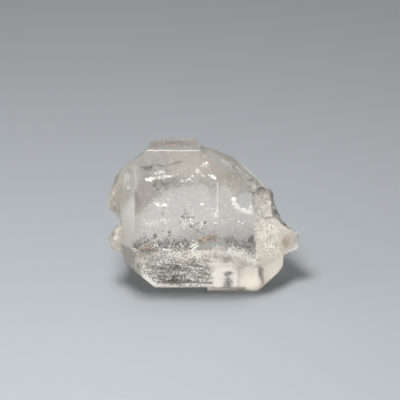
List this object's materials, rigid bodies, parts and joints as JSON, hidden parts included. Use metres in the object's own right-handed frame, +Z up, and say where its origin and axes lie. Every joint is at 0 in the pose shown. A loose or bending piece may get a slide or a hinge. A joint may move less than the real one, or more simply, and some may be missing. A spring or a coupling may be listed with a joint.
{
  "type": "herkimer diamond",
  "caption": "Clear, doubly terminated quartz crystal with flat prism and end faces, a chipped end and fine inclusions, lying on a prism face.",
  "frame": {"origin": "centre of the bounding box in X and Y, at the height of the flat prism face that the crystal lies on", "axes": "+X along the crystal's long axis to the chipped end, +Y away from the viewer, +Z up"},
  "size_m": [0.0236, 0.0148, 0.019],
  "materials": {
    "clear_quartz": "clear natural quartz with glassy flat faces, faint warm grey tint, white veils and dark specks inside"
  },
  "bodies": {
    "root": {"quartz_crystal": "clear_quartz"}
  },
  "joints": []
}
